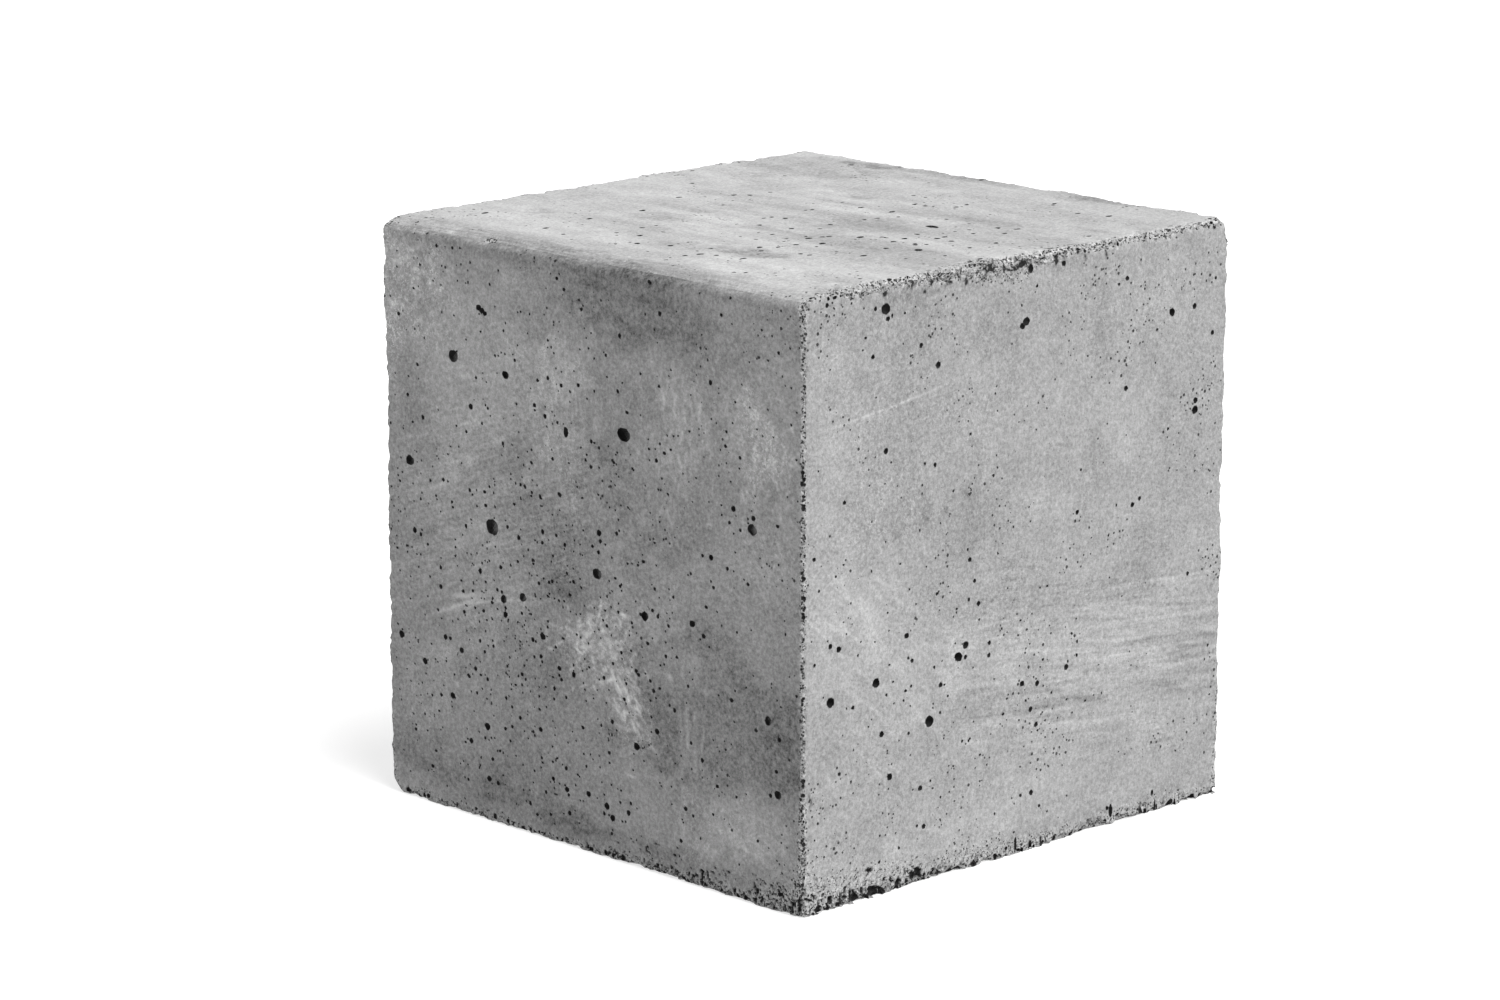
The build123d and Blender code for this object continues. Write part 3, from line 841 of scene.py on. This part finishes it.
def lay_out_sides(mesh):
    """A UV map with the six sides in three columns and two rows, each seen square on."""
    gap = 0.015
    points = (read(mesh.vertices, "co", 3) - np.array(MIDDLE)) / MM
    middles = (read(mesh.polygons, "center", 3) - np.array(MIDDLE)) / MM
    counts = read(mesh.polygons, "loop_total", kind=np.int32)
    corners = read(mesh.loops, "vertex_index", kind=np.int32)
    reach = np.stack([sign * middles[:, axis] for axis, sign in SIDES.values()], axis=1)
    side = np.repeat(reach.argmax(axis=1), counts)
    flat = np.zeros((len(corners), 2), np.float32)
    for number, name in enumerate(SIDES):
        corner, along, up, _ = side_frame(name)
        chosen = side == number
        inside = points[corners[chosen]] - corner
        share = np.stack([inside @ along, inside @ up], axis=1) / EDGE
        cell = np.array([number % 3, number // 3])
        flat[chosen] = (cell + gap + (1 - 2 * gap) * np.clip(share, 0, 1)) / [3, 2]
    mesh.uv_layers.new(name="OFBake").uv.foreach_set("vector", flat.ravel())


def set_socket(tree, socket, value):
    """Joins another socket to this one, or gives it a value of its own."""
    if isinstance(value, bpy.types.NodeSocket):
        tree.links.new(value, socket)
    else:
        socket.default_value = value


def add_node(tree, kind, inputs=(), **settings):
    """A new shader node. inputs gives its sockets' names or numbers, each with what goes in."""
    node = tree.nodes.new("ShaderNode" + kind)
    for name, value in settings.items():
        setattr(node, name, value)
    for key, value in dict(inputs).items():
        set_socket(tree, node.inputs[key], value)
    return node


def smooth_map(tree, value, ends):
    """Maps the range between the first two ends smoothly to that between the last two."""
    inputs = dict(zip(("From Min", "From Max", "To Min", "To Max"), ends), Value=value)
    return add_node(tree, "MapRange", inputs, interpolation_type="SMOOTHSTEP").outputs["Result"]


class Nodes:
    """Short ways to add and join a material's nodes."""

    def __init__(self, name):
        self.material = bpy.data.materials.new(name)
        self.material.use_nodes = True
        self.tree = self.material.node_tree
        self.shader = self.tree.nodes["Principled BSDF"]
        place = self.add("TexCoord").outputs["Object"]
        self.place = self.vector("MULTIPLY", place, (1 / MM,) * 3)  # in millimetres

    def add(self, kind, inputs=(), **settings):
        return add_node(self.tree, kind, inputs, **settings)

    def vector(self, kind, first, second, result="Vector"):
        return self.add("VectorMath", {0: first, 1: second}, operation=kind).outputs[result]

    def maths(self, kind, *values):
        return self.add("Math", enumerate(values), operation=kind).outputs[0]

    def times(self, first, second):
        return self.maths("MULTIPLY", first, second)

    def plus(self, start, value, share):
        """start plus value times share."""
        return self.maths("MULTIPLY_ADD", value, share, start)

    def attribute(self, name):
        return self.add("Attribute", attribute_name=name).outputs["Fac"]

    def noise(self, size, detail, rough, stretch=(1, 1, 1), turn=None, warp=0):
        """Noise about 0 with blobs size millimetres across, longer along an axis by its stretch.

        turn is an axis and degrees about it, so that stretched blobs can slant.
        """
        place = self.place
        if turn:
            angle = {"Vector": place, "Angle": math.radians(turn[1])}
            place = self.add("VectorRotate", angle, rotation_type=turn[0]).outputs["Vector"]
        place = self.vector("MULTIPLY", place, tuple(1 / (size * factor) for factor in stretch))
        inputs = {"Vector": place, "Scale": 1, "Detail": detail, "Roughness": rough}
        node = self.add("TexNoise", {**inputs, "Distortion": warp})
        return self.maths("SUBTRACT", node.outputs["Fac"], 0.5)

    def cells(self, size):
        """Cells size millimetres across: the distance from each one's middle, and its own grey."""
        node = self.add("TexVoronoi", {"Vector": self.place, "Scale": 1 / size})
        split = self.add("SeparateColor", {0: node.outputs["Color"]})
        return node.outputs["Distance"], split.outputs[0]

    def spread(self, value, low, high, start=0, end=1):
        """Maps low..high smoothly to start..end."""
        return smooth_map(self.tree, value, (low, high, start, end))

    def grey(self, value, tint=(1, 1, 1)):
        """A grey of the given value times a slight tint."""
        parts = [self.times(value, share) for share in tint]
        return self.add("CombineColor", enumerate(parts)).outputs["Color"]

    def surface(self, colour, rough, shine=0.5):
        """Sets the shader's colour, its roughness and how much it reflects."""
        looks = {"Base Color": colour, "Roughness": rough, "Specular IOR Level": shine}
        for name, value in looks.items():
            set_socket(self.tree, self.shader.inputs[name], value)

    def bump(self, height, millimetres):
        node = self.add("Bump", {"Height": height, "Strength": 1, "Distance": millimetres * MM})
        set_socket(self.tree, self.shader.inputs["Normal"], node.outputs["Normal"])


# How much light each material throws back
CONCRETE_GREY = 0.22
ROCK_GREY = 0.22
HOLE_PAINTED_SHADE = 0.018  # painted shade: the inside of a bug hole is coloured near black
HOLE_FLOOR_PAINTED_LIGHT = 0.11  # painted light: more than that, on the floor of a wide bug hole
PAINTED_LIGHT_FACING = (-0.5, -0.8, 0.33)  # painted light: the way that the part of a wide bug hole's wall painted lightest faces
# The mortar's mottling: size, detail and roughness of each noise, and its strength.
MORTAR_GRAINS = [(30, 3, 0.55, 0.24), (7, 4, 0.65, 0.4), (1.7, 3, 0.6, 0.44), (0.8, 3, 0.75, 1.6)]

# The studio. Lengths are in metres, angles in degrees.
FLOOR_REACH = 12
FLOOR_GLOW = 0.62
SKY_FADE = (0.07, 0.13, 1.1, 0.56)  # two heights, and the surround's strength below and above them
KEY_DIRECTION = (10, 56)  # of the light, as its turn from +X and its rise
KEY_BREADTH = 45
KEY_ENERGY = 5.1
CAMERA_LENS = 118.9
CAMERA_PLACE = (5.778, -5.749, 2.4426)  # in cube edges, from the middle of the base
CAMERA_SIGHT = (135.79, -13.32)  # turn from +X and rise of the line of sight


def pits(nodes, size, density, reach):
    """Pits in the cells whose own number is under density: 1 in a pit and 0 outside it."""
    away, own = nodes.cells(size)
    opened = nodes.spread(nodes.maths("SUBTRACT", density, own), 0.0, 0.15, 0.0, reach)
    return nodes.spread(nodes.maths("SUBTRACT", away, opened), -0.08, 0.0, 1.0, 0.0)


def concrete():
    """Cast concrete: cloudy, flecked and streaked, with pinholes, and bare sand where it's worn. Its
    pinholes, the gaps between sand grains and the cracks are painted shade, near black.
    """
    nodes = Nodes("concrete_mortar")
    # tone holds the sides' clouds and strokes, and painted light and shade as well.
    worn, light, flecked, brushed = map(nodes.attribute, ("worn", "tone", "flecked", "brushed"))
    for size, detail, rough, strength in MORTAR_GRAINS:
        light = nodes.plus(light, nodes.noise(size, detail, rough), strength)
    fleck = nodes.spread(nodes.noise(0.9, 3, 0.65, warp=1.2), 0.02, 0.12, 0, 0.55)
    light = nodes.plus(light, fleck, flecked)
    rising = nodes.noise(0.7, 3, 0.65, (16, 2, 1), ("Y_AXIS", 20))
    falling = nodes.noise(0.7, 3, 0.65, (2, 26, 1), ("X_AXIS", 5))
    streaks = nodes.maths("ADD", rising, falling)
    light = nodes.plus(light, streaks, nodes.times(brushed, 0.65))
    light = nodes.plus(light, pits(nodes, 2.4, 0.06, 0.16), 0.6)  # pale specks
    crowd = nodes.spread(nodes.noise(16, 2, 0.5), 0, 0.16, 0.07, 0.16)
    hole = nodes.maths("MAXIMUM", pits(nodes, 1.5, crowd, 0.32), pits(nodes, 0.85, crowd, 0.42))
    between_grains = pits(nodes, 0.62, nodes.times(worn, 0.62), 0.5)
    hole = nodes.maths("MAXIMUM", hole, between_grains)
    crack = nodes.spread(nodes.noise(1, 4, 0.7, warp=0.8), -0.08, -0.14)
    crack = nodes.times(crack, nodes.spread(worn, 0.25, 0.85))
    hole = nodes.maths("MAXIMUM", hole, crack)
    grit = nodes.times(nodes.noise(0.75, 3, 0.75), worn)
    light = nodes.plus(light, grit, 3.6)
    light = nodes.plus(light, worn, 0.26)
    # Painted shade: the pinholes, the gaps between the grains and the cracks are darkened almost to
    # black.
    light = nodes.times(light, nodes.plus(1.0, hole, -0.86))
    light = nodes.times(nodes.maths("MAXIMUM", light, 0.05), CONCRETE_GREY)
    nodes.surface(nodes.grey(light), 0.92, 0.25)
    height = nodes.times(nodes.noise(0.7, 3, 0.6), 0.6)
    height = nodes.plus(height, nodes.noise(2.2, 2, 0.5), 0.6)
    height = nodes.maths("ADD", height, grit)
    nodes.bump(nodes.maths("SUBTRACT", height, hole), 0.4)
    return nodes.material


def bubble_wall(name, floor_painted_light):
    """The inside of a bug hole: painted shade, near black, with painted light on a greyer floor."""
    nodes = Nodes(name)
    normal = nodes.add("NewGeometry").outputs["True Normal"]
    facing = nodes.vector("DOT_PRODUCT", normal, PAINTED_LIGHT_FACING, "Value")
    # Painted light: walls that face the given way are coloured greyer than the rest.
    light = nodes.spread(facing, 0.25, 1, HOLE_PAINTED_SHADE, HOLE_PAINTED_SHADE + floor_painted_light)
    light = nodes.times(nodes.plus(1.0, nodes.noise(0.9, 2, 0.5), 1.2), light)
    nodes.surface(nodes.grey(light), 1, 0.05)
    nodes.bump(nodes.noise(0.5, 2, 0.5), 0.15)
    return nodes.material


def crushed_rock():
    """Crushed stone: dark grey, faintly warm, with pale mineral flecks."""
    nodes = Nodes("crushed_stone")
    patch = nodes.times(nodes.noise(7, 4, 0.6), 0.5)
    _, own = nodes.cells(1.6)
    fleck = nodes.spread(own, 0.8, 1, 0, 0.5)
    tone = nodes.times(nodes.maths("ADD", nodes.maths("ADD", patch, fleck), 1.0), ROCK_GREY)
    nodes.surface(nodes.grey(tone, (1, 0.97, 0.93)), 0.8)
    nodes.bump(nodes.noise(1.2, 4, 0.65), 0.5)
    return nodes.material


def make_cube():
    """The worn cube, with its bug holes cut out, in place of the CAD's mortar body."""
    points, quads, masks = worn_skin()
    mesh = mesh_of("concrete_cube", placed(points), quads)
    for name, values in masks.items():
        mask = mesh.attributes.new(name, "FLOAT", "POINT")
        mask.data.foreach_set("value", values.astype(np.float32))
    mesh.materials.append(concrete())
    cube = add_object("concrete_cube", mesh)
    # The bug holes' walls are painted shade, near black; the wide ones' floors also get painted light.
    walls = [bubble_wall("bug_hole_painted_shade", 0), bubble_wall("wide_bug_hole_painted_shade_and_light", HOLE_FLOOR_PAINTED_LIGHT)]
    cut_out(cube, bubble_cutters(walls))
    cube.data.shade_smooth()
    cube.data.set_sharp_from_angle(angle=SHARP_ANGLE)
    lay_out_sides(cube.data)
    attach(cube, "root")
    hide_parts("mortar_body")


def finish_stones():
    """Gives the CAD's stones, which lie inside the cube, their own material."""
    rock = crushed_rock()
    for name in ("coarse_aggregate_40mm", "coarse_aggregate_20mm"):
        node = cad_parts[name]
        node.data.materials.clear()
        node.data.materials.append(rock)


def make_floor():
    """A plain pale floor that glows a little, so that it meets the white surround unseen."""
    reach = FLOOR_REACH
    corners = [(-reach, -reach, 0), (reach, -reach, 0), (reach, reach, 0), (-reach, reach, 0)]
    floor = add_object("floor", mesh_of("floor", np.array(corners), np.array([[0, 1, 2, 3]])))
    paint = bpy.data.materials.new("pale_floor")
    paint.use_nodes = True
    shader = paint.node_tree.nodes["Principled BSDF"].inputs
    shader["Base Color"].default_value = (0.45, 0.45, 0.45, 1)
    shader["Roughness"].default_value = 0.9
    shader["Emission Color"].default_value = (1, 1, 1, 1)
    shader["Emission Strength"].default_value = FLOOR_GLOW
    floor.data.materials.append(paint)


def towards(turn, rise):
    """The direction turned from +X towards +Y, and risen from level, in degrees."""
    turn, rise = math.radians(turn), math.radians(rise)
    level = math.cos(rise)
    return Vector((math.cos(turn) * level, math.sin(turn) * level, math.sin(rise)))


def light_studio():
    """A pale surround, white low down, and one broad, distant light from above the +X side."""
    world = bpy.data.worlds.new("studio")
    world.use_nodes = True
    tree = world.node_tree
    sky = tree.nodes["Background"].inputs
    direction = add_node(tree, "TexCoord").outputs["Generated"]
    height = add_node(tree, "SeparateXYZ", {0: direction}).outputs["Z"]
    sky["Color"].default_value = (1, 1, 1, 1)
    set_socket(tree, sky["Strength"], smooth_map(tree, height, SKY_FADE))
    bpy.context.scene.world = world
    key = bpy.data.lights.new("key", "SUN")
    key.angle = math.radians(KEY_BREADTH)
    key.energy = KEY_ENERGY
    lamp = add_object("key", key)
    lamp.rotation_mode = "QUATERNION"
    lamp.rotation_quaternion = towards(*KEY_DIRECTION).to_track_quat("Z", "Y")
    bpy.context.scene.view_settings.view_transform = "Standard"


def place_camera():
    """The camera at the photo's angle, from above and outside the front arris."""
    camera = bpy.data.cameras.new("camera")
    camera.lens, camera.sensor_width = CAMERA_LENS, 36
    eye = add_object("camera", camera)
    eye.location = Vector(CAMERA_PLACE) * (EDGE * MM)
    eye.rotation_mode = "QUATERNION"
    eye.rotation_quaternion = towards(*CAMERA_SIGHT).to_track_quat("-Z", "Y")
    bpy.context.scene.camera = eye


make_cube()
finish_stones()
make_floor()
light_studio()
place_camera()
